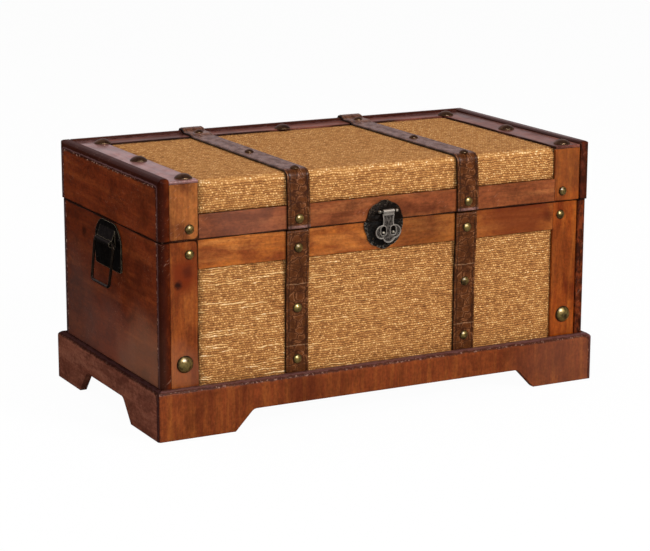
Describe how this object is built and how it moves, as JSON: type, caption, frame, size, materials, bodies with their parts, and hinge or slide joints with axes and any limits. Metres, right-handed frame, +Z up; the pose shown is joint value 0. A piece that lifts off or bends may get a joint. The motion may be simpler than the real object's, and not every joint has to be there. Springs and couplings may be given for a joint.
{
  "type": "storage chest",
  "caption": "Small wooden storage chest on a plinth with bracket feet: cloth panels between battens, leather straps, hinged lid with a slotted stay, drop handles and a hasp latch",
  "frame": {"origin": "on the floor, under the middle of the whole outline", "axes": "+X to the right along the front, +Y from the front to the back, +Z up"},
  "size_m": [0.5886, 0.313, 0.2985],
  "materials": {
    "side_wood": "dark red-brown stain under gloss lacquer",
    "batten_wood": "orange-brown stain under gloss lacquer",
    "plinth_wood": "red-brown stain under gloss lacquer",
    "inner_wood": "plain stained board",
    "cloth": "golden slub-woven cloth",
    "strap_leather": "embossed dark brown leather, polished",
    "nail_brass": "antiqued brass",
    "dark_bronze": "dark antique bronze plating",
    "stay_steel": "dull brass-plated steel"
  },
  "bodies": {
    "chest": {"body_back_board": "side_wood", "body_front_board": "inner_wood", "body_front_cloth": "cloth", "body_left_end": "side_wood", "body_left_large_nail": "nail_brass", "body_left_stile": "batten_wood", "body_left_stile_nail": "nail_brass", "body_left_strap": "strap_leather", "body_right_end": "side_wood", "body_right_large_nail": "nail_brass", "body_right_stile": "batten_wood", "body_right_stile_nail": "nail_brass", "body_right_strap": "strap_leather", "body_top_rail": "batten_wood", "bottom_board": "inner_wood", "latch_lower_plate": "dark_bronze", "left_handle_plate": "dark_bronze", "left_hinge_lower_leaf": "dark_bronze", "left_hinge_pin": "dark_bronze", "plinth_back": "plinth_wood", "plinth_front": "plinth_wood", "plinth_left": "plinth_wood", "plinth_right": "plinth_wood", "right_handle_plate": "dark_bronze", "right_hinge_lower_leaf": "dark_bronze", "right_hinge_pin": "dark_bronze", "stay_stud": "stay_steel"},
    "lid": {"hasp_pin": "dark_bronze", "latch_upper_plate": "dark_bronze", "left_hinge_upper_leaf": "dark_bronze", "lid_back_board": "side_wood", "lid_back_rail": "batten_wood", "lid_back_rail_nail": "nail_brass", "lid_cloth": "cloth", "lid_front_board": "inner_wood", "lid_front_rail": "batten_wood", "lid_left_back_nail": "nail_brass", "lid_left_end": "side_wood", "lid_left_front_nail": "nail_brass", "lid_left_middle_nail": "nail_brass", "lid_left_stile": "batten_wood", "lid_left_stile_nail": "nail_brass", "lid_left_strap": "strap_leather", "lid_left_top_strip": "batten_wood", "lid_right_back_nail": "nail_brass", "lid_right_end": "side_wood", "lid_right_front_nail": "nail_brass", "lid_right_middle_nail": "nail_brass", "lid_right_stile": "batten_wood", "lid_right_stile_nail": "nail_brass", "lid_right_strap": "strap_leather", "lid_right_top_strip": "batten_wood", "lid_top_board": "inner_wood", "right_hinge_upper_leaf": "dark_bronze", "stay_pivot": "stay_steel"},
    "hasp": {"hasp": "dark_bronze"},
    "left_bail": {"left_bail": "dark_bronze"},
    "right_bail": {"right_bail": "dark_bronze"},
    "stay_arm": {"stay_arm": "stay_steel"}
  },
  "joints": [
    {"name": "lid_hinge", "type": "hinge", "parent": "chest", "child": "lid", "pos_m": [0, 0.15285, 0.2242], "axis": [-1, 0, 0], "range_deg": [0, 95]},
    {"name": "hasp_hinge", "type": "hinge", "parent": "lid", "child": "hasp", "pos_m": [0.001, -0.15405, 0.236], "axis": [-1, 0, 0], "range_deg": [-7.5, 180]},
    {"name": "stay_hinge", "type": "hinge", "parent": "lid", "child": "stay_arm", "pos_m": [-0.264, 0.04545, 0.24798], "axis": [-1, 0, 0], "range_deg": [-47.5, 0]},
    {"name": "left_bail_hinge", "type": "hinge", "parent": "chest", "child": "left_bail", "pos_m": [-0.2863, 0.00115, 0.199], "axis": [0, 1, 0], "range_deg": [-10, 165]},
    {"name": "right_bail_hinge", "type": "hinge", "parent": "chest", "child": "right_bail", "pos_m": [0.2863, 0.00115, 0.199], "axis": [0, -1, 0], "range_deg": [-10, 165]}
  ],
  "couplings": [
    {"joint": "stay_hinge", "follows": "lid_hinge", "ratio": -0.5}
  ]
}
